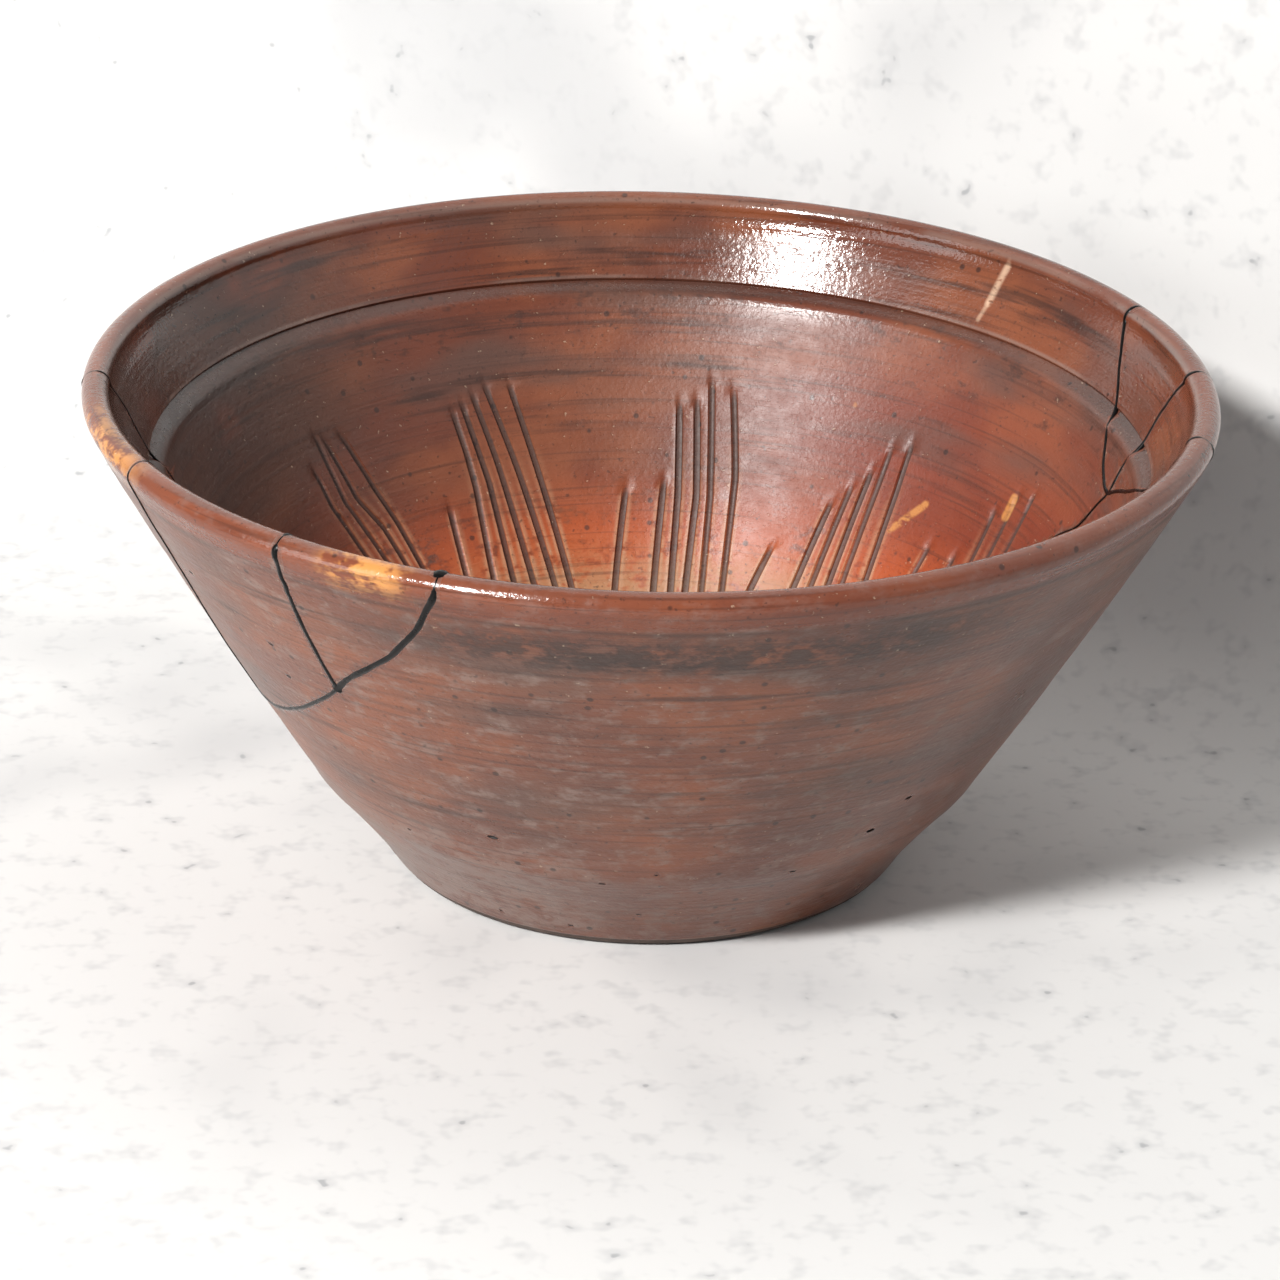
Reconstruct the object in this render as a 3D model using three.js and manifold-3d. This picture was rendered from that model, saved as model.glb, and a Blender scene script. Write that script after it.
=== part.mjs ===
// A stoneware grinding bowl that broke at the rim in two places and was mended with black lacquer.
// Millimetres, +Z up, origin under the middle of the foot. Seen from the front the camera looks
// along +Y, and angles run from +X, so the front of the bowl is at -90 degrees.

import * as THREE from "three";
import { mergeVertices } from "three/addons/utils/BufferGeometryUtils.js";
import Module from "manifold-3d";

const wasm = await Module();
wasm.setup();

// Overall sizes
const rimDiameter = 280;
const rimHeight = 126.5;
const footDiameter = 129;

// The rim isn't level: it stands highest behind, a little to the left
const rimRise = 3.7;
const rimRiseAngle = 107;

// Outer wall: a flared foot, a soft ridge, then a long wall that swells a little
const ridgeHeight = 27.5;
const ridgeDiameter = 171.4;
const footHollow = 0.9;
const wallSwell = 0.9;
const footChamfer = 1.2;

// Lip: a round bead that stands out over the wall
const lipThickness = 6.8;
const lipOverhang = 2.7;
const lipCreaseDrop = 9.5;
const lipTurns = [-36, 194];
const innerLipDrop = 11.5;

// Wall thicknesses, square to the wall
const lowerWall = 7.8;
const upperWall = 6.5;
const floorThickness = 9;
const floorDiameter = 92;
const floorRoundHeight = 15;
const floorRoundPull = 2;

// Ring cut into the inner wall, with a shoulder under it
const ringDrop = 22;
const ringWidth = 3;
const ringDepth = 1.2;

// Combed grooves, in strokes of a five-toothed comb
const combTeeth = 5;
const combPitch = 3.9;
const grooveWidth = 1.5;
const grooveDepth = 0.7;
const grooveLift = 1;

// Lacquer in the breaks
const wideSeam = 1;
const fineSeam = 0.5;
const seamClearance = 0.3;
const seamStand = 0.25;
const poolDiameter = 2.4;
const cutOvershoot = 6;

// Fineness of the faceted surfaces
const turnSegments = 80;
const lipSegments = 7;
const floorRoundSegments = 4;
const poolSides = 10;
const longestLeg = 12;
const mergeDistance = 0.0001;

// Where each comb stroke starts high on the wall and ends low: [angle, share of the rim height]
const combStrokes = [
  [[141, 0.66], [136, 0.24]],
  [[117, 0.67], [112, 0.22]],
  [[82, 0.66], [83, 0.22]],
  [[53, 0.61], [56, 0.22]],
  [[27, 0.63], [26, 0.24]],
  [[-5, 0.6], [-7, 0.22]],
  [[-36, 0.64], [-34, 0.24]],
  [[-67, 0.62], [-70, 0.22]],
  [[-98, 0.66], [-95, 0.23]],
  [[-128, 0.6], [-131, 0.23]],
  [[-158, 0.63], [-155, 0.22]],
  [[172, 0.6], [169, 0.23]],
];

// Breaks, from the rim down to the point where they meet: [angle, share of the rim height]
const aboveRim = 1.13;
const leftTip = [-127.6, 0.632];
const leftMeeting = [-160, 0.427];
const rightMeeting = [3, 0.736];
const leftBreaks = {
  frontRight: [[-108.9, aboveRim], [-110.4, 0.921], [-112.9, 0.848], [-117.1, 0.767], [-122, 0.704], leftTip],
  frontLeft: [[-126, aboveRim], [-126.8, 0.935], [-127.8, 0.797], [-128, 0.699], leftTip],
  underside: [leftTip, [-130.1, 0.6], [-138.2, 0.522], [-151.7, 0.44], leftMeeting],
  side: [[-149, aboveRim], [-151, 0.869], [-152.4, 0.734], [-156, 0.569], leftMeeting],
  farSide: [[-175.5, aboveRim], [-175.8, 0.9], [-174.2, 0.86], [-175, 0.672], [-170, 0.538], leftMeeting],
};
const rightBreaks = {
  back: [[21.5, aboveRim], [23.3, 0.972], [19.4, 0.893], [14, 0.808], [9.4, 0.753], rightMeeting],
  middle: [[-1, aboveRim], [4.1, 0.952], [4.6, 0.896], [3.8, 0.82], rightMeeting],
  front: [[-17, aboveRim], [-14.9, 0.893], [-11, 0.845], [-7.7, 0.812], [-0.8, 0.764], rightMeeting],
  openCrack: [rightMeeting, [5.1, 0.664], [9.9, 0.606], [16.1, 0.538], [22, 0.466]],
};

const rimRadius = rimDiameter / 2;
const footRadius = footDiameter / 2;
const ridgeRadius = ridgeDiameter / 2;
const creaseHeight = rimHeight - lipCreaseDrop;
const creaseRadius = rimRadius - lipOverhang;
const wallLean = Math.atan2(creaseRadius - ridgeRadius, creaseHeight - ridgeHeight);
const ringHeight = rimHeight - ringDrop;

// Radius of the outer wall at a height, run on straight past the rim
function outerRadius(height) {
  if (height < ridgeHeight) {
    const share = height / ridgeHeight;
    const straight = THREE.MathUtils.lerp(footRadius, ridgeRadius, share);
    return straight - 4 * footHollow * share * (1 - share);
  }
  const share = (height - ridgeHeight) / (creaseHeight - ridgeHeight);
  const swell = Math.max(0, 4 * wallSwell * share * (1 - share));
  return THREE.MathUtils.lerp(ridgeRadius, creaseRadius, share) + swell;
}

// Radius of the inner wall at a height, thicker under the ring
function innerRadius(height) {
  const wall = height > ringHeight ? upperWall : lowerWall;
  return outerRadius(height) - wall / Math.cos(wallLean);
}

// Points of a wall face at shares of the way from one height to another
function faceBetween(radiusAt, from, to, shares) {
  return shares.map((share) => {
    const height = THREE.MathUtils.lerp(from, to, share);
    return [radiusAt(height), height];
  });
}

function lipRound(skin) {
  const radius = lipThickness / 2 + skin;
  const middle = [rimRadius - lipThickness / 2, rimHeight - lipThickness / 2];
  return Array.from({ length: lipSegments + 1 }, (_, step) => {
    const turn = THREE.MathUtils.degToRad(THREE.MathUtils.lerp(...lipTurns, step / lipSegments));
    return [middle[0] + radius * Math.cos(turn), middle[1] + radius * Math.sin(turn)];
  });
}

// The ring's groove, deepest under its upper edge, and the shoulder below it
function ringGroove(radiusAt) {
  const top = ringHeight + ringWidth / 2;
  const foot = ringHeight - ringWidth / 2;
  const bottom = radiusAt(top) + ringDepth / Math.cos(wallLean);
  return [
    [radiusAt(top), top],
    [bottom, ringHeight + ringWidth / 4],
    [bottom - ringWidth / 4, ringHeight - ringWidth / 4],
    [radiusAt(foot), foot],
  ];
}

// The round from the wall into the flat floor
function floorRound(radiusAt, floorHeight) {
  const top = floorThickness + floorRoundHeight;
  const curve = new THREE.QuadraticBezierCurve(
    new THREE.Vector2(radiusAt(top), top),
    new THREE.Vector2(radiusAt(floorThickness) - floorRoundPull, floorHeight),
    new THREE.Vector2(floorDiameter / 2, floorHeight),
  );
  return curve.getPoints(floorRoundSegments).map((point) => [point.x, point.y]);
}

// Half section of the bowl from the axis under the foot round to the axis over the floor,
// with every glazed surface moved out by skin
function bowlSection(skin) {
  const across = skin / Math.cos(wallLean);
  const outerFace = (height) => outerRadius(height) + across;
  const innerFace = (height) => innerRadius(height) - across;
  const ringFoot = ringHeight - ringWidth / 2;
  const roundTop = floorThickness + floorRoundHeight;
  const points = [
    [0, 0],
    [footRadius - footChamfer, 0],
    ...faceBetween(outerFace, footChamfer, ridgeHeight, [0, 0.45, 0.92]),
    ...faceBetween(outerFace, ridgeHeight, creaseHeight, [0.04, 0.25, 0.5, 0.75, 1]),
    ...lipRound(skin),
    [innerFace(rimHeight - innerLipDrop), rimHeight - innerLipDrop],
    ...ringGroove(innerFace),
    ...faceBetween(innerFace, ringFoot, roundTop, [0.33, 0.66]),
    ...floorRound(innerFace, floorThickness + skin),
    [0, floorThickness + skin],
  ];
  return points.map(([radius, height]) => new THREE.Vector2(radius, height));
}

// Solid of a closed mesh, once its shared corners are merged and collapsed triangles dropped
function toSolid(geometry) {
  const bare = geometry.clone();
  bare.deleteAttribute("normal");
  bare.deleteAttribute("uv");
  const merged = mergeVertices(bare, mergeDistance);
  const corners = merged.index.array;
  const kept = [];
  for (let i = 0; i < corners.length; i += 3) {
    const [a, b, c] = [corners[i], corners[i + 1], corners[i + 2]];
    if (a !== b && b !== c && c !== a) {
      kept.push(a, b, c);
    }
  }
  const vertProperties = Float32Array.from(merged.attributes.position.array);
  const triVerts = Uint32Array.from(kept);
  return new wasm.Manifold(new wasm.Mesh({ numProp: 3, vertProperties, triVerts }));
}

function toMesh(name, solid, material) {
  const result = solid.getMesh();
  const corners = Float32Array.from(result.vertProperties);
  const geometry = new THREE.BufferGeometry();
  geometry.setAttribute("position", new THREE.BufferAttribute(corners, 3));
  geometry.setIndex(new THREE.BufferAttribute(Uint32Array.from(result.triVerts), 1));
  geometry.computeVertexNormals();
  const mesh = new THREE.Mesh(geometry, material);
  mesh.name = name;
  return mesh;
}

// The thrown bowl with its rim out of level
function thrownBowl(skin) {
  const geometry = new THREE.LatheGeometry(bowlSection(skin), turnSegments);
  geometry.rotateX(Math.PI / 2);
  const place = geometry.attributes.position;
  const high = THREE.MathUtils.degToRad(rimRiseAngle);
  for (let i = 0; i < place.count; i += 1) {
    const reach = (place.getX(i) * Math.cos(high) + place.getY(i) * Math.sin(high)) / rimRadius;
    place.setZ(i, place.getZ(i) * (1 + (reach * rimRise) / rimHeight));
  }
  return toSolid(geometry);
}

// A point on the inner or outer face and the wall's outward direction there
function wallStation([angle, share], face) {
  const turn = THREE.MathUtils.degToRad(angle);
  const height = share * rimHeight;
  const radius = face === "outer" ? outerRadius(height) : innerRadius(height);
  const point = new THREE.Vector3(radius * Math.cos(turn), radius * Math.sin(turn), height);
  const outward = new THREE.Vector3(
    Math.cos(turn) * Math.cos(wallLean),
    Math.sin(turn) * Math.cos(wallLean),
    -Math.sin(wallLean),
  );
  return { point, outward };
}

// Stations along a break, with long legs divided so that they follow the round of the wall
function breakStations(path, face) {
  const stations = [wallStation(path[0], face)];
  for (let leg = 1; leg < path.length; leg += 1) {
    const [from, to] = [path[leg - 1], path[leg]];
    const reach = stations.at(-1).point.distanceTo(wallStation(to, face).point);
    const parts = Math.ceil(reach / longestLeg);
    for (let part = 1; part <= parts; part += 1) {
      const angle = THREE.MathUtils.lerp(from[0], to[0], part / parts);
      const share = THREE.MathUtils.lerp(from[1], to[1], part / parts);
      stations.push(wallStation([angle, share], face));
    }
  }
  return stations;
}

// How far a cut reaches in and out from the face that it is drawn on, past both sides of the wall
function wallReach(face) {
  const far = Math.max(lowerWall, lipThickness) + cutOvershoot;
  return face === "outer" ? [-far, cutOvershoot] : [-cutOvershoot, far];
}

// Closed mesh from equal rings of points: sides between neighbouring rings and a flat cap at each end
function ringShell(rings) {
  const size = rings[0].length;
  const corners = rings.flat();
  const faces = [];
  for (let ring = 0; ring < rings.length - 1; ring += 1) {
    for (let side = 0; side < size; side += 1) {
      const a = ring * size + side;
      const b = ring * size + ((side + 1) % size);
      faces.push(a, b, b + size, a, b + size, a + size);
    }
  }
  const last = (rings.length - 1) * size;
  for (const [start, flip] of [[0, true], [last, false]]) {
    const middle = corners.length;
    corners.push(centreOf(corners.slice(start, start + size)));
    for (let side = 0; side < size; side += 1) {
      const a = start + side;
      const b = start + ((side + 1) % size);
      faces.push(middle, flip ? b : a, flip ? a : b);
    }
  }
  return closedGeometry(corners, faces);
}

function centreOf(points) {
  const sum = points.reduce((total, point) => total.add(point), new THREE.Vector3());
  return sum.divideScalar(points.length);
}

// Geometry of a closed mesh, turned face out where it was wound the other way
function closedGeometry(corners, faces) {
  let volume = 0;
  for (let i = 0; i < faces.length; i += 3) {
    const [a, b, c] = [corners[faces[i]], corners[faces[i + 1]], corners[faces[i + 2]]];
    volume += a.dot(new THREE.Vector3().crossVectors(b, c));
  }
  const geometry = new THREE.BufferGeometry().setFromPoints(corners);
  geometry.setIndex(volume < 0 ? faces.slice().reverse() : faces);
  return geometry;
}

// A thin sheet through the wall along a break, width across and longer by extra at each end
function seamSheet(path, face, width, extra) {
  const stations = breakStations(path, face);
  const [low, high] = wallReach(face);
  const rings = stations.map(({ point, outward }, i) => {
    const before = stations[Math.max(0, i - 1)].point;
    const after = stations[Math.min(stations.length - 1, i + 1)].point;
    const along = after.clone().sub(before).normalize();
    const side = new THREE.Vector3().crossVectors(along, outward).normalize();
    const end = i === 0 ? -extra : i === stations.length - 1 ? extra : 0;
    const place = point.clone().addScaledVector(along, end);
    return [[-1, low], [1, low], [1, high], [-1, high]].map(([hand, depth]) =>
      place.clone().addScaledVector(side, (hand * width) / 2).addScaledVector(outward, depth),
    );
  });
  return toSolid(ringShell(rings));
}

// A round pool of lacquer through the wall where breaks meet
function meetingPool(place, face, diameter) {
  const { point, outward } = wallStation(place, face);
  const [low, high] = wallReach(face);
  const geometry = new THREE.CylinderGeometry(diameter / 2, diameter / 2, high - low, poolSides);
  const turn = new THREE.Quaternion().setFromUnitVectors(new THREE.Vector3(0, 1, 0), outward);
  geometry.applyQuaternion(turn);
  const middle = point.clone().addScaledVector(outward, (low + high) / 2);
  geometry.translate(middle.x, middle.y, middle.z);
  return toSolid(geometry);
}

function joinAll(solids) {
  return solids.reduce((whole, solid) => whole.add(solid));
}

// All the seams of one mend, wider all round by grow
function leftSeams(grow) {
  const sheets = [
    [leftBreaks.frontRight, wideSeam],
    [leftBreaks.frontLeft, wideSeam],
    [leftBreaks.underside, wideSeam],
    [leftBreaks.side, fineSeam],
    [leftBreaks.farSide, fineSeam],
  ].map(([path, seam]) => seamSheet(path, "outer", seam + 2 * grow, grow));
  return joinAll([...sheets, meetingPool(leftTip, "outer", poolDiameter + 2 * grow)]);
}

function rightSeams(grow) {
  const width = wideSeam + 2 * grow;
  const sheets = Object.values(rightBreaks).map((path) => seamSheet(path, "inner", width, grow));
  return joinAll([...sheets, meetingPool(rightMeeting, "inner", poolDiameter + 2 * grow)]);
}

// The stretch of wall inside a closed outline: down the breaks of one side, up those of the other
function wallWedge({ down, up, face }) {
  const descent = down.flatMap((path) => breakStations(path, face).slice(0, -1));
  const ascent = up.flatMap((path) => breakStations(path, face).reverse().slice(0, -1));
  const rim = breakStations(up.at(-1), face)[0];
  const stations = [...descent, ...ascent, rim];
  const rings = wallReach(face).map((depth) =>
    stations.map(({ point, outward }) => point.clone().addScaledVector(outward, depth)),
  );
  return toSolid(ringShell(rings));
}

// One tooth's groove: a V that follows the wall and rises out of it at both ends
function combGroove([top, foot], offset) {
  const spread = (grooveWidth / 2) * (1 + grooveLift / grooveDepth);
  const stations = [0, 0.1, 0.5, 0.9, 1].map((part) => {
    const share = THREE.MathUtils.lerp(top[1], foot[1], part);
    const shift = THREE.MathUtils.radToDeg(offset / innerRadius(share * rimHeight));
    return wallStation([THREE.MathUtils.lerp(top[0], foot[0], part) + shift, share], "inner");
  });
  const along = stations.at(-1).point.clone().sub(stations[0].point).normalize();
  const rings = stations.map(({ point, outward }, i) => {
    const side = new THREE.Vector3().crossVectors(along, outward).normalize();
    const atEnd = i === 0 || i === stations.length - 1;
    const depth = atEnd ? 0 : grooveDepth;
    const half = atEnd ? spread / 3 : spread;
    return [
      point.clone().addScaledVector(outward, depth),
      point.clone().addScaledVector(side, half).addScaledVector(outward, -grooveLift),
      point.clone().addScaledVector(side, -half).addScaledVector(outward, -grooveLift),
    ];
  });
  return toSolid(ringShell(rings));
}

function combedGrooves() {
  const middle = (combTeeth - 1) / 2;
  const offsets = Array.from({ length: combTeeth }, (_, tooth) => (tooth - middle) * combPitch);
  const grooves = combStrokes.flatMap((stroke) => offsets.map((offset) => combGroove(stroke, offset)));
  return joinAll(grooves);
}

function glazedStoneware() {
  return new THREE.MeshStandardMaterial({ color: "#8f573f", roughness: 0.35, metalness: 0 });
}

function blackLacquer() {
  return new THREE.MeshStandardMaterial({ color: "#15110f", roughness: 0.2, metalness: 0 });
}

const sherds = [
  { name: "front_left_sherd", down: [leftBreaks.frontLeft], up: [leftBreaks.frontRight], face: "outer" },
  {
    name: "left_sherd",
    down: [leftBreaks.side],
    up: [leftBreaks.underside, leftBreaks.frontLeft],
    face: "outer",
  },
  { name: "far_left_sherd", down: [leftBreaks.farSide], up: [leftBreaks.side], face: "outer" },
  { name: "right_back_sherd", down: [rightBreaks.back], up: [rightBreaks.middle], face: "inner" },
  { name: "right_front_sherd", down: [rightBreaks.middle], up: [rightBreaks.front], face: "inner" },
];

function buildBowl() {
  const combed = thrownBowl(0).subtract(combedGrooves());
  const coated = thrownBowl(seamStand);
  const gaps = leftSeams(seamClearance).add(rightSeams(seamClearance));
  const broken = combed.subtract(gaps);
  const group = new THREE.Group();
  let body = broken;
  for (const sherd of sherds) {
    const wedge = wallWedge(sherd);
    group.add(toMesh(sherd.name, broken.intersect(wedge), glazedStoneware()));
    body = body.subtract(wedge);
  }
  group.add(toMesh("bowl_body", body, glazedStoneware()));
  group.add(toMesh("left_lacquer_join", coated.intersect(leftSeams(0)), blackLacquer()));
  group.add(toMesh("right_lacquer_join", coated.intersect(rightSeams(0)), blackLacquer()));
  return group;
}

export default buildBowl();
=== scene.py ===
# A stoneware grinding bowl, broken at the rim and mended with black lacquer.
# Angles run from +X, so the camera's side of the bowl is at -90 degrees. Sizes in the
# dictionaries are millimetres and degrees unless a note says otherwise.

import math
from functools import partial

import bmesh
import bpy
import numpy as np
from mathutils import Matrix, Vector
from mathutils.bvhtree import BVHTree


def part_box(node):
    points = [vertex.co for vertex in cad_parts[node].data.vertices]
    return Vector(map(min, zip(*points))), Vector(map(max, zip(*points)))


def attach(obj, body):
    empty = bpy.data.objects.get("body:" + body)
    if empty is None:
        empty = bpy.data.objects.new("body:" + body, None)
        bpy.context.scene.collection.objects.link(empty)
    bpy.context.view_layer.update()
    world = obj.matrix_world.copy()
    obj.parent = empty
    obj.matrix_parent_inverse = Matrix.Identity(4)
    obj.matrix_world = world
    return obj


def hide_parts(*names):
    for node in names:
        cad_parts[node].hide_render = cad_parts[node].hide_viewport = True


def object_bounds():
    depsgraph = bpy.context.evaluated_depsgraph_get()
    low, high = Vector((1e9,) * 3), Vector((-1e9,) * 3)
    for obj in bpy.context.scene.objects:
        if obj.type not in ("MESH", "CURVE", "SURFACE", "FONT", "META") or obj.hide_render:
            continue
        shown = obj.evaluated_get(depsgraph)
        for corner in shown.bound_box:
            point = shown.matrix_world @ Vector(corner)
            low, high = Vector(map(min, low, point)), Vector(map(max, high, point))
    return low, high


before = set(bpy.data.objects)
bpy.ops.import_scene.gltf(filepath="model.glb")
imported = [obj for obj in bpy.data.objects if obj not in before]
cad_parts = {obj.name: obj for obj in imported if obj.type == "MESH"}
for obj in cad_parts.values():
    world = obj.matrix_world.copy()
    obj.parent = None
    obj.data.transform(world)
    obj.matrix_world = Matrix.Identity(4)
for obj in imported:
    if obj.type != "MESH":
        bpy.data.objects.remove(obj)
cadBox = [list(corner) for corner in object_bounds()]
millimetre = 0.001
mathNode = "ShaderNodeMath"
print("frame loaded")


# Shared helpers

def linearColour(hexColour):
    channels = [int(hexColour[i:i + 2], 16) / 255 for i in (1, 3, 5)]
    return [c / 12.92 if c <= 0.04045 else ((c + 0.055) / 1.055) ** 2.4 for c in channels] + [1.0]


def addNode(tree, kind, inputs=(), **settings):
    # inputs by order or by name: a value, a socket, or a node, which stands for its first output
    node = tree.nodes.new(kind)
    for name, value in settings.items():
        setattr(node, name, value)
    for key, value in inputs.items() if isinstance(inputs, dict) else enumerate(inputs):
        if isinstance(value, bpy.types.Node):
            value = value.outputs[0]
        if isinstance(value, bpy.types.NodeSocket):
            tree.links.new(value, node.inputs[key])
        else:
            node.inputs[key].default_value = value
    return node


def newGeometryTree(name, sockets):
    tree = bpy.data.node_groups.new(name, "GeometryNodeTree")
    tree.interface.new_socket("Geometry", in_out="INPUT", socket_type="NodeSocketGeometry")
    for label, kind in sockets.items():
        tree.interface.new_socket(label, in_out="INPUT", socket_type="NodeSocket" + kind)
    tree.interface.new_socket("Geometry", in_out="OUTPUT", socket_type="NodeSocketGeometry")
    return tree, tree.nodes.new("NodeGroupInput").outputs


def finishTree(tree, geometry, material):
    realized = addNode(tree, "GeometryNodeRealizeInstances", [geometry])
    painted = addNode(tree, "GeometryNodeSetMaterial", {"Geometry": realized, "Material": material})
    addNode(tree, "NodeGroupOutput", [painted])
    return tree


def meshObject(name, vertices, faces, edges=()):
    mesh = bpy.data.meshes.new(name)
    mesh.from_pydata(vertices, edges, faces)
    made = bpy.data.objects.new(name, mesh)
    bpy.context.scene.collection.objects.link(made)
    return made


def pointAttribute(piece, name, values, kind="FLOAT"):
    attribute = piece.data.attributes.new(name, kind, "POINT")
    field = "vector" if kind == "FLOAT_VECTOR" else "value"
    attribute.data.foreach_set(field, np.asarray(values, np.float32).ravel())


def bakeModifiers(piece):
    # the evaluated result becomes the object's own plain mesh
    evaluated = piece.evaluated_get(bpy.context.evaluated_depsgraph_get())
    mesh = bpy.data.meshes.new_from_object(evaluated)
    piece.modifiers.clear()
    piece.data = mesh
    return piece


def growWith(piece, tree, values):
    modifier = piece.modifiers.new(tree.name, "NODES")
    modifier.node_group = tree
    for item in tree.interface.items_tree:
        if item.in_out == "INPUT" and item.name in values:
            modifier[item.identifier] = values[item.name]
    return bakeModifiers(piece)


def combine(piece, others, operation):
    for other in others:
        modifier = piece.modifiers.new(operation, "BOOLEAN")
        modifier.operation = operation
        modifier.solver = "MANIFOLD"
        modifier.object = other
        modifier.material_mode = "TRANSFER"
        bakeModifiers(piece)
    return piece


def smoothStep(value):
    value = np.clip(value, 0, 1)
    return value * value * (3 - 2 * value)


# The thrown form

rise = 3.55  # how much higher the rim stands behind than its mean
bowl = {
    "rimRadius": cadBox[1][0] / millimetre - 0.32,
    "rimHeight": cadBox[1][2] / millimetre - rise - 0.12,
    "rimRise": rise,
    "rimRiseAngle": 107,
    "footRadius": 64.3,
    "footBevel": 1.2,
    "bareBand": 2.5,
    "glazeStep": 0.25,
    "ridgeHeight": 27.5,
    "ridgeRadius": 85.6,
    "footHollow": 0.9,
    "wallSwell": 0.9,
    "lipThickness": 6.8,
    "lipOverhang": 2.7,
    "lipCreaseDrop": 9.5,
    "lowerWall": 7.8,
    "upperWall": 6.5,
    "floorThickness": 9,
    "floorRadius": 46,
    "floorRoundHeight": 15,
    "undersideRings": (20, 38, 52),
    "floorRings": (38, 29, 19, 9),
    "ringDrop": 21.6,
    "ringWidth": 2.6,
    "ringDepth": 0.85,
    "ringProfile": [  # depth below the ring's upper edge, share of its depth
        (0.15, 0.35), (0.55, 0.85), (1.1, 1), (1.7, 0.85), (2.3, 0.5), (2.9, 0.12), (3.4, -0.16),
        (4.2, -0.1),
    ],
    "throwingRelief": 0.42,
    "throwingSpacing": 8,
    "lumps": 0.55,
    "lumpSize": 34,
    "outOfRound": 0.25,
    "rowStep": 2.1,
    "columnStep": 1.3,
    "seed": 3,
}
creaseHeight = bowl["rimHeight"] - bowl["lipCreaseDrop"]
creaseRadius = bowl["rimRadius"] - bowl["lipOverhang"]
ringHeight = bowl["rimHeight"] - bowl["ringDrop"]
wallLean = math.atan2(creaseRadius - bowl["ridgeRadius"], creaseHeight - bowl["ridgeHeight"])


def outerRadius(height):
    if height < bowl["ridgeHeight"]:
        share = height / bowl["ridgeHeight"]
        straight = bowl["footRadius"] + (bowl["ridgeRadius"] - bowl["footRadius"]) * share
        return straight - 4 * bowl["footHollow"] * share * (1 - share)
    share = (height - bowl["ridgeHeight"]) / (creaseHeight - bowl["ridgeHeight"])
    swell = max(0, 4 * bowl["wallSwell"] * share * (1 - share))
    return bowl["ridgeRadius"] + (creaseRadius - bowl["ridgeRadius"]) * share + swell


def innerRadius(height):
    # the wall is thicker under the ring
    mix = float(smoothStep((height - ringHeight + 1) / 2))
    wall = bowl["lowerWall"] + (bowl["upperWall"] - bowl["lowerWall"]) * mix
    return outerRadius(height) - wall / math.cos(wallLean)


def sectionRows():
    # each row of the clay: radius, height, which way the wall faces, share inside, bare clay
    underside = (*bowl["undersideRings"], bowl["footRadius"] - bowl["footBevel"])
    rows = [(radius, 0, 0, 0, 1) for radius in underside]
    rows.append((bowl["footRadius"] - 0.45 * bowl["footBevel"], 0.25, 0.3, 0, 1))
    rows.append((outerRadius(bowl["footBevel"]), bowl["footBevel"], 1, 0, 1))
    rows.append((outerRadius(bowl["bareBand"] - 0.3), bowl["bareBand"] - 0.3, 1, 0, 1))
    rows.append((outerRadius(bowl["bareBand"]) + bowl["glazeStep"], bowl["bareBand"], 1, 0, 0))
    steps = round((creaseHeight - bowl["bareBand"]) / bowl["rowStep"])
    for height in np.linspace(bowl["bareBand"] + 0.6, creaseHeight, steps):
        glazeEdge = bowl["glazeStep"] * (1 - float(smoothStep((height - 3) / 6)))
        ridge = 0.12 * math.exp(-((height - bowl["ridgeHeight"] - 1) / 1.6) ** 2)
        rows.append((outerRadius(height) + glazeEdge + ridge, height, 1, 0, 0))
    half = bowl["lipThickness"] / 2
    for turn in np.radians(np.linspace(-30, 190, 17)):
        inside = float(smoothStep((math.degrees(turn) - 80) / 80))
        radius = bowl["rimRadius"] - half + half * math.cos(turn)
        height = bowl["rimHeight"] - half + half * math.sin(turn)
        rows.append((radius, height, 0.3 * math.cos(turn), inside, 0))
    top = ringHeight + bowl["ringWidth"] / 2
    for height in np.linspace(bowl["rimHeight"] - 6.5, top + 0.25, 9):
        rows.append((innerRadius(height), height, -1, 1, 0))
    deep = bowl["ringDepth"] / math.cos(wallLean)
    for drop, bite in bowl["ringProfile"]:
        rows.append((innerRadius(top - drop) + deep * bite, top - drop, -1, 1, 0))
    roundTop = bowl["floorThickness"] + bowl["floorRoundHeight"]
    for height in np.linspace(top - 5.6, roundTop + 1.5, 44):
        rows.append((innerRadius(height), height, -1, 1, 0))
    corner = (innerRadius(bowl["floorThickness"]) - 2, bowl["floorThickness"])
    wallEnd = (innerRadius(roundTop), roundTop)
    floorEnd = (bowl["floorRadius"], bowl["floorThickness"])
    for t in np.linspace(0, 1, 9):
        weights = ((1 - t) ** 2, 2 * t * (1 - t), t ** 2)
        radius, height = (
            sum(weight * value for weight, value in zip(weights, values))
            for values in zip(wallEnd, corner, floorEnd)
        )
        rows.append((radius, height, -(1 - t), 1, 0))
    rows += [(radius, bowl["floorThickness"], 0, 1, 0) for radius in bowl["floorRings"]]
    return rows


# Combed grooves: each tooth from where it bites high on the wall to where it leaves, as
# (angle, height) pairs. The strokes on the far wall stand where the camera sees them.

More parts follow.
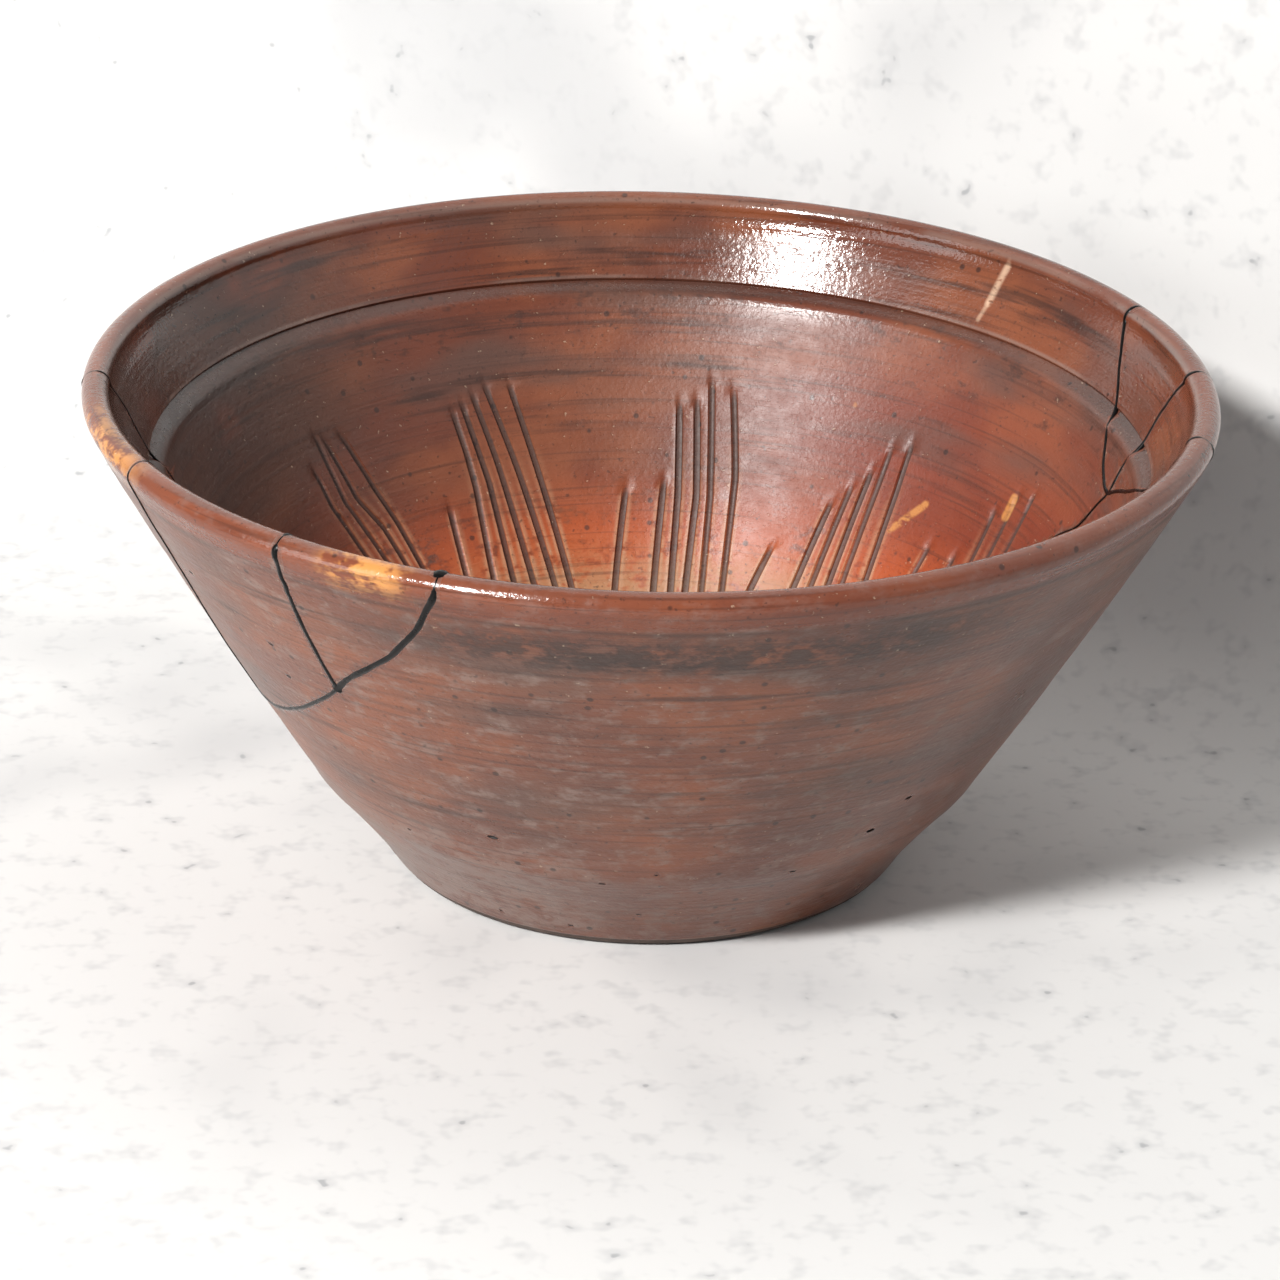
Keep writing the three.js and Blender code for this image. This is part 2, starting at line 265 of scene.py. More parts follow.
comb = {
    "width": 2.25,
    "depth": 0.9,
    "burr": 0.1,
    "fadeTop": 6,
    "fadeFoot": 9,
    "foot": 14,
    "top": 93,
    "teeth": 5,
    "spread": 2.35,
    "widestHalfAngle": 0.84,
    "runOut": 6,
    "weakest": 0.72,
    "bundleGap": 6,
    "wornBetween": 0.2,
    "belowRing": 6,
    "narrowest": 60,
    "seed": 11,
}
seenTeeth = [
    [(147.5, 78), (147.0, 66), (144.8, 55), (140.5, 34), (139, 16)],
    [(144.6, 85), (144.0, 66), (141.5, 55), (137.2, 34), (136, 16)],
    [(143.3, 83), (141.3, 65), (138.4, 57), (134.2, 34), (133, 16)],
    [(140.3, 83), (137.1, 65), (135.3, 57), (131.6, 34), (130, 16)],
    [(124.7, 60), (125.3, 36), (125.4, 16)],
    [(120.4, 82), (119.4, 68), (119.2, 60), (120.0, 35), (121.5, 16)],
    [(118.7, 83), (116.7, 61), (115.9, 34), (116.5, 16)],
    [(116.9, 85), (114.7, 66), (111.8, 33), (111.5, 16)],
    [(114.9, 87), (111.6, 64), (107.7, 33), (107, 16)],
    [(111.1, 86), (108.4, 64), (104.6, 33), (103, 16)],
    [(93.6, 60), (96.6, 32), (97.2, 18)],
    [(87.5, 62), (89.0, 32), (89.8, 16)],
    [(85.8, 80), (85.2, 56), (85.6, 32), (86, 16)],
    [(83.3, 81), (82.1, 56), (82.8, 32), (83, 16)],
    [(81.4, 86), (79.8, 56), (79.6, 33), (79.7, 16)],
    [(78.2, 84), (76.0, 61), (75.6, 33), (75.6, 16)],
    [(67.0, 49), (70.5, 34), (71, 22)],
    [(58.6, 62), (62.0, 36), (63, 16)],
    [(56.0, 67), (58.7, 36), (59.4, 16)],
    [(53.6, 71), (55.2, 37), (55.6, 16)],
    [(51.5, 78), (52.4, 39), (52.4, 16)],
    [(48.5, 80), (47.7, 42), (47.4, 16)],
    [(37.5, 60), (38.7, 47), (40, 26)],
    [(31.4, 61), (31.9, 50), (32.4, 22)],
    [(28.1, 74), (27.4, 59), (27, 18)],
    [(24.9, 80), (24.1, 61), (23.2, 18)],
    [(21.5, 82), (20.6, 63), (19.4, 18)],
]
# strokes behind the lip, guessed: middle angle, height of the top, lean
hiddenStrokes = [
    (-6, 76, -1.5), (-36, 80, 2), (-67, 79, -3), (-98, 84, 3), (-128, 76, -2), (-157, 80, 3), (171, 77, -3),
]


def combTeeth():
    random = np.random.default_rng(comb["seed"])
    teeth = [list(tooth) for tooth in seenTeeth]
    for angle, height, lean in hiddenStrokes:
        for tooth in range(comb["teeth"]):
            offset = (tooth - (comb["teeth"] - 1) / 2) * comb["spread"]
            top = height + random.uniform(-5, 4)
            teeth.append([
                (angle + offset + random.uniform(-0.3, 0.3), top),
                (angle + 1.35 * offset + lean / 2, 50),
                (angle + 1.8 * offset + lean + random.uniform(-0.3, 0.3), 16),
            ])
    return sorted(teeth, key=lambda tooth: tooth[-1][0])


def toothAngle(tooth, height):
    angles, heights = zip(*reversed(tooth))
    return float(np.interp(height, heights, angles))


def fillerCounts(teeth):
    # plain columns between neighbouring grooves, judged half way up the wall
    middle = 55
    centres = [toothAngle(tooth, middle) for tooth in teeth]
    gaps = [after - before for before, after in zip(centres, centres[1:] + [centres[0] + 360])]
    groove = math.degrees(comb["width"] / innerRadius(middle))
    return [max(1, round((gap - groove) / bowl["columnStep"]) - 1) for gap in gaps]


def combColumns(teeth, fillers, height, radius, strengths):
    # the columns of the clay at one height: angle, how deep the comb bites there, and worn ridges
    held = min(max(height, comb["foot"]), comb["top"])
    half = min(math.degrees(comb["width"] / 2 / radius), comb["widestHalfAngle"])
    burr = -comb["burr"] / comb["depth"]
    section = ((-1, burr), (-0.62, 0.75), (0, 1), (0.62, 0.75), (1, burr))
    angles, bites, ridges = [], [], []
    centres = [toothAngle(tooth, held) for tooth in teeth]
    for k, tooth in enumerate(teeth):
        start, end = tooth[0][1], tooth[-1][1]
        entering = smoothStep((start - height) / comb["fadeTop"])
        leaving = smoothStep((height - end + comb["runOut"]) / comb["fadeFoot"])
        bite = float(entering * leaving) * strengths[k]
        nextCentre = centres[(k + 1) % len(teeth)] + (360 if k == len(teeth) - 1 else 0)
        for place, depth in section:
            angles.append(centres[k] + place * half)
            bites.append(bite * depth)
            ridges.append(bite * (1 if depth < 0 else 0))
        sameBundle = nextCentre - centres[k] < comb["bundleGap"]
        for step in range(1, fillers[k] + 1):
            first, last = centres[k] + half, nextCentre - half
            angles.append(first + (last - first) * step / (fillers[k] + 1))
            bites.append(0)
            ridges.append(comb["wornBetween"] * bite if sameBundle else 0)
    return np.array(angles), np.array(bites), np.array(ridges)


# Stained and worn parts of the glaze, and parts of it where shade or light is painted: the wall they are
# on, the middle angle, the half angle that is full and the one past which there is none, then the heights
# none, full, full, none
zones = {
    "redZone": [("inner", 25, 25, 70, 20, 30, 70, 112)],
    "lowOrangeZone": [("inner", 70, 60, 115, 2, 3, 40, 66)],
    "tanZone": [("inner", 88, 24, 62, 2, 3, 30, 50)],
    # smoke, with painted shade: the inner left wall, turned from the key light, is darkened further
    "smokeAndShadeZone": [("inner", 172, 24, 52, 55, 84, 140, 150)],
    # painted shade: the outer right side, turned from the key light, is darkened
    "paintedShadeRightZone": [("outer", -46, 14, 36, 14, 44, 124, 130)],
    # painted light: the front-left foot, on the key light's side, is painted paler
    "paintedLightFootZone": [("outer", -128, 14, 40, 3, 6, 26, 44)],
    "smudgeZone": [("outer", -84, 20, 42, 100, 106, 111, 117)],
    "lipWearZone": [
        ("outer", -117, 2, 6, 119.5, 122, 140, 150), ("outer", -158, 3, 12, 119, 122, 140, 150),
    ],
}


floorFade = {"start": 12, "length": 42, "share": 0.4}


def zoneStrength(places, angles, radii, heights, inside):
    total = np.zeros(len(angles))
    for face, middle, full, none, low, lowFull, highFull, high in places:
        away = np.abs((angles - middle + 180) % 360 - 180)
        strength = smoothStep((none - away) / (none - full))
        # on the floor inside a direction means less and less towards the middle
        around = smoothStep((radii - floorFade["start"]) / floorFade["length"])
        strength = strength * around + floorFade["share"] * (1 - around)
        strength = strength * smoothStep((heights - low) / (lowFull - low))
        strength = strength * smoothStep((high - heights) / (high - highFull))
        total = np.maximum(total, strength * (inside if face == "inner" else 1 - inside))
    return total


def unrolledClay():
    # a closed sheet of rows and columns, laid out as (turn, radius, height)
    random = np.random.default_rng(comb["seed"] + 1)
    teeth = combTeeth()
    fillers = fillerCounts(teeth)
    strengths = random.uniform(comb["weakest"], 1.0, len(teeth))
    rows = sectionRows()
    highest = combColumns(teeth, fillers, comb["top"], innerRadius(comb["top"]), strengths)[0]
    columns = len(highest)
    even = highest[0] + np.arange(columns) * 360 / columns
    vertices = [(0, 0, 0)]
    noted = {"combCut": [0], "combWorn": [0], "insideWall": [0], "bareClay": [1], "facing": [0]}
    inCombZone = False
    for radius, height, facing, inside, bareClay in rows:
        if inside == 1 and height < ringHeight - comb["belowRing"]:
            inCombZone = True
        wide = max(radius, comb["narrowest"])
        angles, bites, ridges = combColumns(teeth, fillers, height, wide, strengths)
        if not inCombZone:
            # above the comb the columns ease over to even steps
            ease = 1
            if inside == 1:
                ease = float(smoothStep((height - comb["top"]) / (ringHeight - comb["top"])))
            angles = angles * (1 - ease) + even * ease
            bites = bites * 0
            ridges = ridges * 0
        vertices += [(math.radians(angle), radius, height) for angle in angles]
        noted["combCut"] += list(bites)
        noted["combWorn"] += list(ridges)
        noted["insideWall"] += [inside] * columns
        noted["bareClay"] += [bareClay] * columns
        noted["facing"] += [facing] * columns
    vertices.append((0, 0, bowl["floorThickness"]))
    for name, values in noted.items():
        values.append(1 if name == "insideWall" else 0)
    faces = []
    for row in range(len(rows) - 1):
        for column in range(columns):
            a = 1 + row * columns + column
            b = 1 + row * columns + (column + 1) % columns
            faces.append((a, b, b + columns, a + columns))
    top = len(vertices) - 1
    lastRow = 1 + (len(rows) - 1) * columns
    for column in range(columns):
        after = (column + 1) % columns
        faces.append((0, 1 + after, 1 + column))
        faces.append((lastRow + column, lastRow + after, top))
    clay = meshObject("bowl_body_visual", vertices, faces)
    for name, values in noted.items():
        pointAttribute(clay, name, values)
    angles, radii, heights = np.array(vertices).T
    pointAttribute(clay, "wallHeight", heights)
    for name, places in zones.items():
        strength = zoneStrength(places, np.degrees(angles), radii, heights, np.array(noted["insideWall"]))
        pointAttribute(clay, name, strength)
    print("clay sheet:", len(rows), "rows,", columns, "columns")
    return clay


def throwBowlTree():
    sizes = [
        "Rim Radius", "Rim Height", "Rim Rise", "Rim Rise Angle", "Throwing Relief", "Throwing Spacing",
        "Lumps", "Lump Size", "Out Of Round", "Comb Depth", "Wall Lean", "Seed",
    ]
    sockets = dict.fromkeys(sizes, "Float") | {"Glaze": "Material", "Clay": "Material"}
    tree, given = newGeometryTree("throwBowl", sockets)
    add = partial(addNode, tree)
    turn, radius, height = add("ShaderNodeSeparateXYZ", [add("GeometryNodeInputPosition")]).outputs
    combCut, facing, bareClay = (
        add("GeometryNodeInputNamedAttribute", {"Name": name}, data_type="FLOAT")
        for name in ("combCut", "facing", "bareClay")
    )
    cosTurn = add(mathNode, [turn], operation="COSINE")
    sinTurn = add(mathNode, [turn], operation="SINE")

    # throwing rings: a noise that changes fast up the wall and slowly round it
    ringX = add(mathNode, [cosTurn, 0.55], operation="MULTIPLY")
    ringY = add(mathNode, [sinTurn, 0.55], operation="MULTIPLY")
    ringZ = add(mathNode, [height, given["Throwing Spacing"]], operation="DIVIDE")
    rings = add("ShaderNodeTexNoise", {
        "Vector": add("ShaderNodeCombineXYZ", [ringX, ringY, ringZ]), "W": given["Seed"],
        "Scale": 1.0, "Detail": 1.5, "Roughness": 0.5,
    }, noise_dimensions="4D")
    ringShift = add(mathNode, [rings, 0.5], operation="SUBTRACT")

    # slight lumps, the same size all over
    flatX = add(mathNode, [cosTurn, radius], operation="MULTIPLY")
    flatY = add(mathNode, [sinTurn, radius], operation="MULTIPLY")
    flat = add("ShaderNodeCombineXYZ", [flatX, flatY, height])
    lumps = add("ShaderNodeTexNoise", {
        "Vector": add("ShaderNodeVectorMath", [flat, given["Lump Size"]], operation="DIVIDE"),
        "W": given["Seed"], "Scale": 1.0, "Detail": 2.0,
    }, noise_dimensions="4D")
    lumpShift = add(mathNode, [lumps, 0.5], operation="SUBTRACT")
    lumpRelief = add(mathNode, [lumpShift, given["Lumps"]], operation="MULTIPLY")
    relief = add(mathNode, [ringShift, given["Throwing Relief"], lumpRelief], operation="MULTIPLY_ADD")
    relief = add(mathNode, [relief, facing], operation="MULTIPLY")

    # the comb cuts into the wall, square to it
    bite = add(mathNode, [combCut, given["Comb Depth"]], operation="MULTIPLY")
    leanCos = add(mathNode, [given["Wall Lean"]], operation="COSINE")
    leanSin = add(mathNode, [given["Wall Lean"]], operation="SINE")
    across = add(mathNode, [bite, leanCos], operation="MULTIPLY")
    down = add(mathNode, [bite, leanSin], operation="MULTIPLY")

    # the rim is a little out of round
    upShare = add(mathNode, [height, given["Rim Height"]], operation="DIVIDE")
    doubleTurn = add(mathNode, [turn, 2.0, 1.0], operation="MULTIPLY_ADD")
    oval = add(mathNode, [doubleTurn], operation="COSINE")
    oval = add(mathNode, [oval, given["Out Of Round"]], operation="MULTIPLY")
    oval = add(mathNode, [oval, given["Out Of Round"]], operation="SUBTRACT")
    shift = add(mathNode, [oval, upShare, across], operation="MULTIPLY_ADD")
    newRadius = add(mathNode, [radius, relief], operation="ADD")
    newRadius = add(mathNode, [newRadius, shift], operation="ADD")

    # and it stands higher on one side
    riseTurn = add(mathNode, [turn, given["Rim Rise Angle"]], operation="SUBTRACT")
    lift = add(mathNode, [riseTurn], operation="COSINE")
    lift = add(mathNode, [lift, given["Rim Rise"]], operation="MULTIPLY")
    outShare = add(mathNode, [radius, given["Rim Radius"]], operation="DIVIDE")
    lift = add(mathNode, [lift, outShare], operation="MULTIPLY")
    lowered = add(mathNode, [height, down], operation="SUBTRACT")
    newHeight = add(mathNode, [lift, upShare, lowered], operation="MULTIPLY_ADD")

    newX = add(mathNode, [newRadius, cosTurn], operation="MULTIPLY")
    newY = add(mathNode, [newRadius, sinTurn], operation="MULTIPLY")
    placed = add("ShaderNodeCombineXYZ", [newX, newY, newHeight])
    metres = add("ShaderNodeVectorMath", {0: placed, "Scale": millimetre}, operation="SCALE")
    thrown = add("GeometryNodeSetPosition", {"Geometry": given["Geometry"], "Position": metres})

    # slow changes of colour are kept on the mesh, where the glaze reads them
    for name, scales, seed in (("cloudTone", (24, 24, 40), 7.0), ("broadTone", (9, 9, 46), 3.0)):
        position = add("GeometryNodeInputPosition")
        scaled = add("ShaderNodeVectorMath", [position, scales], operation="MULTIPLY")
        tone = add("ShaderNodeTexNoise", {
            "Vector": scaled, "W": seed, "Scale": 1.0, "Detail": 3.0, "Roughness": 0.62,
        }, noise_dimensions="4D")
        thrown = add("GeometryNodeStoreNamedAttribute", {
            "Geometry": thrown, "Name": name, "Value": tone,
        }, data_type="FLOAT", domain="POINT")
    smooth = add("GeometryNodeSetShadeSmooth", [thrown])
    glazed = add("GeometryNodeSetMaterial", {"Geometry": smooth, "Material": given["Glaze"]})
    isBare = add("FunctionNodeCompare", [bareClay, 0.5], operation="GREATER_THAN")
    realized = add("GeometryNodeRealizeInstances", [glazed])
    clay = add("GeometryNodeSetMaterial", {
        "Geometry": realized, "Selection": isBare, "Material": given["Clay"],
    })
    add("NodeGroupOutput", [clay])
    return tree


# Burst bubbles and dents in the outer wall: angle, height, half length round the bowl, half height.
# They sit on the plain wall, so one that the lumps bury leaves no pit.

pits = {
    "placed": [
        (-49.8, 46.0, 1.7, 1.1), (-48.3, 47.6, 0.9, 0.6), (-54.0, 37.2, 1.8, 1.0), (-55.6, 35.9, 0.8, 0.5),
        (-44.2, 70.3, 1.1, 0.7), (-52.5, 41.5, 0.9, 0.6), (-112.6, 39.2, 1.6, 0.8), (-65.6, 27.8, 1.2, 0.5),
        (-75.6, 28.2, 1.0, 0.4), (-96.6, 26.9, 1.1, 0.5), (-57.6, 28.9, 1.3, 0.5), (-88.0, 31.0, 0.8, 0.5),
        (-103.0, 47.0, 0.8, 0.5), (-71.0, 55.0, 0.9, 0.4), (-61.0, 66.0, 0.9, 0.5), (-93.0, 72.0, 0.8, 0.4),
    ],
    "scattered": 70,
    "lowest": 6,
    "highest": 100,
    "largest": 0.75,
    "depth": 0.55,
    "seed": 31,
}


def bubblePoints():
    random = np.random.default_rng(pits["seed"])
    spots = list(pits["placed"])
    for _ in range(pits["scattered"]):
        height = pits["lowest"] + (pits["highest"] - pits["lowest"]) * random.random() ** 1.7
        size = pits["largest"] * random.uniform(0.4, 1)
        spots.append((random.uniform(-180, 180), height, size * random.uniform(1, 1.7), size * 0.7))
    stations = [wallStation(angle, height, "outer") for angle, height, _, _ in spots]
    points = meshObject("bubbles", [tuple(point * millimetre) for point, _ in stations], [])
    pointAttribute(points, "outward", [outward for _, outward in stations], "FLOAT_VECTOR")
    pointAttribute(points, "turn", [math.radians(angle) for angle, _, _, _ in spots])
    sizes = [(wide, tall, pits["depth"] * tall) for _, _, wide, tall in spots]
    pointAttribute(points, "bubble", np.array(sizes) * millimetre, "FLOAT_VECTOR")
    return points


def burstBubblesTree():
    sockets = {"Wall Lean": "Float", "Roundness": "Int", "Glaze": "Material"}
    tree, given = newGeometryTree("burstBubbles", sockets)
    add = partial(addNode, tree)
    bubble = add("GeometryNodeInputNamedAttribute", {"Name": "bubble"}, data_type="FLOAT_VECTOR")
    turn = add("GeometryNodeInputNamedAttribute", {"Name": "turn"}, data_type="FLOAT")
    # each bubble lies flat on the wall: leaned out, then turned round the bowl
    lean = add(mathNode, [given["Wall Lean"], math.pi / 2], operation="ADD")
    turned = add(mathNode, [turn, math.pi / 2], operation="ADD")
    ball = add("GeometryNodeMeshIcoSphere", {"Radius": 1.0, "Subdivisions": given["Roundness"]})
    placed = add("GeometryNodeInstanceOnPoints", {
        "Points": given["Geometry"], "Instance": ball, "Scale": bubble,
        "Rotation": add("ShaderNodeCombineXYZ", [lean, 0.0, turned]),
    })
    return finishTree(tree, placed, given["Glaze"])


# Breaks, from the rim down to where they meet, as (angle, height). The left ones are drawn on
# the outer face and the right ones on the inner face, where each mend shows best.

above = 143
leftTip = (-127.6, 80.0)
leftMeeting = (-160, 54.0)
rightMeeting = (3, 93.1)
breaks = {
    "frontRight": {"face": "outer", "width": 1.55, "rimSwell": 0.75, "path": [
        (-108.9, above), (-109.6, 120), (-110.4, 116.5), (-112.9, 107.3), (-117.1, 97), (-121.5, 89.9),
        (-125.3, 84.4), leftTip,
    ]},
    "frontLeft": {"face": "outer", "width": 1.45, "path": [
        (-126, above), (-126.8, 118.3), (-127.5, 108), (-127.8, 100.8), (-128, 88.4), leftTip,
    ]},
    "underside": {"face": "outer", "width": 1.1, "path": [
        leftTip, (-130.1, 75.9), (-133.5, 71.5), (-138.2, 66), (-144.5, 60.5), (-151.7, 55.7), leftMeeting,
    ]},
    "side": {"face": "outer", "width": 0.7, "path": [
        (-149, above), (-151, 109.9), (-152.4, 92.9), (-156, 72), leftMeeting,
    ]},
    "farSide": {"face": "outer", "width": 0.6, "path": [
        (-175.5, above), (-175.8, 113.9), (-174.2, 108.8), (-175, 85), (-170, 68), leftMeeting,
    ]},
    "rightBack": {"face": "inner", "width": 1.1, "path": [
        (21.5, above), (23.3, 123), (19.4, 113), (15.2, 105.2), (14, 102.2), (9.4, 95.2), (5.6, 93),
        rightMeeting,
    ]},
    "rightMiddle": {"face": "inner", "width": 1.1, "path": [
        (-1, above), (4.1, 120.4), (4.6, 113.4), (3.8, 105.1), (3.9, 100), rightMeeting,
    ]},
    "rightFront": {"face": "inner", "width": 1.15, "path": [
        (-17, above), (-15.5, 117.7), (-14.9, 113), (-11, 106.9), (-7.7, 102.7), (-0.8, 96.7), rightMeeting,
    ]},
    "openCrack": {"face": "inner", "width": 0.9, "path": [
        rightMeeting, (4.3, 89.5), (5.1, 84), (5.9, 81.6), (9.9, 76.7), (13, 71.8), (16.1, 68), (20, 62.5),
        (22.5, 58.5),
    ]},
}
seam = {
    "step": 1.6,
    "rimStep": 0.35,
    "wander": 0.28,
    "glueWidth": 0.4,
    "stand": 0.28,
    "overshoot": 6,
    "poolWidth": 2.2,
    "waver": 0.35,
    "sides": 16,
    "jag": 1.6,
    "rimCalm": 0.3,
    "rimSwell": 0.3,
    "upShare": 0.6,
    "poolReach": 1.6,
    "beadStep": 0.45,
    "smoothing": 4,
    "seed": 23,
}


def wallStation(angle, height, face):
    turn = math.radians(angle)
    radius = outerRadius(height) if face == "outer" else innerRadius(height)
    point = np.array([radius * math.cos(turn), radius * math.sin(turn), height])
    outward = np.array([
        math.cos(turn) * math.cos(wallLean), math.sin(turn) * math.cos(wallLean), -math.sin(wallLean)
    ])
    return point, outward


def breakStations(name):
    # points along a break, close together near the lip, with the small wander of a fracture
    line = breaks[name]
    random = np.random.default_rng(seed=seam["seed"] + list(breaks).index(name))
    places = [line["path"][0]]
    for start, end in zip(line["path"], line["path"][1:]):
        first, last = (wallStation(*place, line["face"])[0] for place in (start, end))
        reach = np.linalg.norm(first - last)
        step = seam["rimStep"] if start[1] > creaseHeight else seam["step"]
        count = max(1, round(reach / step))
        for part in range(1, count + 1):
            places.append(tuple(a + (b - a) * part / count for a, b in zip(start, end)))
    draws = random.normal(0, 1, 2 * len(places) + 4)
    drift = np.convolve(draws[len(places):], np.ones(5) / 5, "valid") * seam["jag"]
    drift[[0, -1]] = 0
    stations = []
    for (angle, height), shift in zip(places, drift):
        if height > creaseHeight:
            shift *= seam["rimCalm"]
        angle += math.degrees(seam["wander"] * shift / outerRadius(height))
        height += seam["wander"] * shift * seam["upShare"]
        stations.append(wallStation(angle, height, line["face"]))
    return stations


def seamReach(face):
    far = bowl["lowerWall"] + seam["overshoot"]
    return (-far, seam["overshoot"]) if face == "outer" else (-seam["overshoot"], far)


def seamSheet(name):
    stations = breakStations(name)
    stations = stations[:-1:2] + stations[-1:]
    low, high = seamReach(breaks[name]["face"])
    vertices = []
    for i, (point, outward) in enumerate(stations):
        along = stations[min(i + 1, len(stations) - 1)][0] - stations[max(i - 1, 0)][0]
        side = np.cross(along, outward)
        side = side / np.linalg.norm(side) * seam["glueWidth"] / 2
        for hand, depth in ((-1, low), (1, low), (1, high), (-1, high)):
            vertices.append(tuple((point + hand * side + depth * outward) * millimetre))
    faces = []
    for ring in range(len(stations) - 1):
        for corner in range(4):
            a = ring * 4 + corner
            b = ring * 4 + (corner + 1) % 4
            faces.append((a, b, b + 4, a + 4))
    last = (len(stations) - 1) * 4
    faces += [(3, 2, 1, 0), (last, last + 1, last + 2, last + 3)]
    sheet = meshObject("sheet_" + name, vertices, faces)
    faceOut(sheet)
    return sheet


def faceOut(piece):
    form = bmesh.new()
    form.from_mesh(piece.data)
    bmesh.ops.recalc_face_normals(form, faces=form.faces)
    if form.calc_volume(signed=True) < 0:
        bmesh.ops.reverse_faces(form, faces=form.faces)
    form.to_mesh(piece.data)
    form.free()


def seamPath(name, surface):
    # where a break shows: up the inner face, over the lip and down the outer face
    low, high = seamReach(breaks[name]["face"])
    innerSide, outerSide = [], []
    for point, outward in breakStations(name):
        direction = Vector(outward)
        fromInside = surface.ray_cast(Vector((point + low * outward) * millimetre), direction)
        fromOutside = surface.ray_cast(Vector((point + high * outward) * millimetre), -direction)
        if fromInside[0] is None or fromOutside[0] is None:
            continue
        innerSide.append(fromInside[:2])
        outerSide.append(fromOutside[:2])
    if name in ("openCrack", "underside"):
        # these two stay below the lip
        return [innerSide, outerSide]
    return [innerSide[::-1] + outerSide]


def layLacquerTree():
    sockets = {"Stand": "Float", "Waver": "Float", "Sides": "Int", "Seed": "Float", "Lacquer": "Material"}
    tree, given = newGeometryTree("layLacquer", sockets)
    add = partial(addNode, tree)
    width = add("GeometryNodeInputNamedAttribute", {"Name": "seamWidth"}, data_type="FLOAT")
    outward = add("GeometryNodeInputNamedAttribute", {"Name": "outward"}, data_type="FLOAT_VECTOR")
    line = add("GeometryNodeMeshToCurve", [given["Geometry"]])
    brush = add("ShaderNodeTexNoise", {
        "Vector": add("GeometryNodeInputPosition"), "W": given["Seed"], "Scale": 210.0, "Detail": 1.0,
    }, noise_dimensions="4D")
    brushShift = add(mathNode, [brush, 0.5], operation="SUBTRACT")
    swing = add(mathNode, [brushShift, given["Waver"], 1.0], operation="MULTIPLY_ADD")
    shown = add(mathNode, [width, swing], operation="MULTIPLY")

    # a round bead sunk so that only its crown stands out of the glaze
    shownSquare = add(mathNode, [shown, shown], operation="MULTIPLY")
    quarter = add(mathNode, [shownSquare, 4.0], operation="DIVIDE")
    chord = add(mathNode, [given["Stand"], given["Stand"], quarter], operation="MULTIPLY_ADD")
    doubleStand = add(mathNode, [given["Stand"], 2.0], operation="MULTIPLY")
    reach = add(mathNode, [chord, doubleStand], operation="DIVIDE")
    sink = add(mathNode, [given["Stand"], reach], operation="SUBTRACT")
    offset = add("ShaderNodeVectorMath", {0: outward, "Scale": sink}, operation="SCALE")
    sunk = add("GeometryNodeSetPosition", {"Geometry": line, "Offset": offset})
    circle = add("GeometryNodeCurvePrimitiveCircle", {"Resolution": given["Sides"], "Radius": 1.0})
    bead = add("GeometryNodeCurveToMesh", {
        "Curve": sunk, "Profile Curve": circle, "Scale": reach, "Fill Caps": True,
    })
    return finishTree(tree, add("GeometryNodeSetShadeSmooth", [bead]), given["Lacquer"])


def seamBeads(name, surface, tree, lacquer):
    beads = []
    width = breaks[name]["width"]
    for number, path in enumerate(seamPath(name, surface)):
        points = np.array([list(point) for point, _ in path])
        normals = np.array([list(normal) for _, normal in path])
        for _ in range(seam["smoothing"]):
            points[1:-1] = (points[:-2] + 2 * points[1:-1] + points[2:]) / 4
            normals[1:-1] = (normals[:-2] + normals[1:-1] + normals[2:]) / 3
        keep = [0]
        for i in range(1, len(points)):
            if np.linalg.norm(points[i] - points[keep[-1]]) > seam["beadStep"] * millimetre:
                keep.append(i)
        points, normals = points[keep], normals[keep]
        normals /= np.linalg.norm(normals, axis=1)[:, None]
        meets = [
            Vector(wallStation(*meeting, breaks[name]["face"])[0] * millimetre)
            for meeting in (leftTip, rightMeeting)
        ]
        widths = []
        for point in points:
            near = min((Vector(point) - meet).length for meet in meets)
            pool = (seam["poolWidth"] - width) * math.exp(-(near / (seam["poolReach"] * millimetre)) ** 2)
            overLip = max(0, point[2] / millimetre - creaseHeight) / bowl["lipCreaseDrop"]
            swell = breaks[name].get("rimSwell", seam["rimSwell"])
            widths.append((width * (1 + swell * min(1, overLip)) + max(0, pool)) * millimetre)
        edges = [(i, i + 1) for i in range(len(points) - 1)]
        bead = meshObject(f"bead_{name}_{number}", points.tolist(), [], edges)
        pointAttribute(bead, "outward", normals, "FLOAT_VECTOR")
        pointAttribute(bead, "seamWidth", widths)
        growWith(bead, tree, {
            "Stand": seam["stand"] * millimetre, "Waver": seam["waver"], "Sides": seam["sides"],
            "Seed": 4.0 + number, "Lacquer": lacquer,
        })
        faceOut(bead)
        beads.append(bead)
    return beads


def creaseSharpEdges(piece, degrees):
    piece.data.validate()
    piece.data.shade_smooth()
    piece.data.set_sharp_from_angle(angle=math.radians(degrees))


def discard(objects):
    for piece in objects:
        bpy.data.objects.remove(piece)


def looseParts(piece):
    # splits a mesh into its connected shells, each a new object
    form = bmesh.new()
    form.from_mesh(piece.data)
    form.verts.ensure_lookup_table()
    label = np.full(len(form.verts), -1)
    count = 0
    for start in form.verts:
        if label[start.index] >= 0:
            continue
        label[start.index] = count
        queue = [start]
        while queue:
            vertex = queue.pop()
            for edge in vertex.link_edges:
                other = edge.other_vert(vertex)
                if label[other.index] < 0:
                    label[other.index] = count
                    queue.append(other)
        count += 1
    form.free()
    parts = []
    for number in range(count):
        copied = piece.data.copy()
        part = bpy.data.objects.new(f"part_{number}", copied)
        bpy.context.scene.collection.objects.link(part)
        form = bmesh.new()
        form.from_mesh(copied)
        form.verts.ensure_lookup_table()
        dead = [vertex for vertex in form.verts if label[vertex.index] != number]
        bmesh.ops.delete(form, geom=dead, context="VERTS")
        form.to_mesh(copied)
        form.free()
        parts.append(part)
    return parts


# Materials

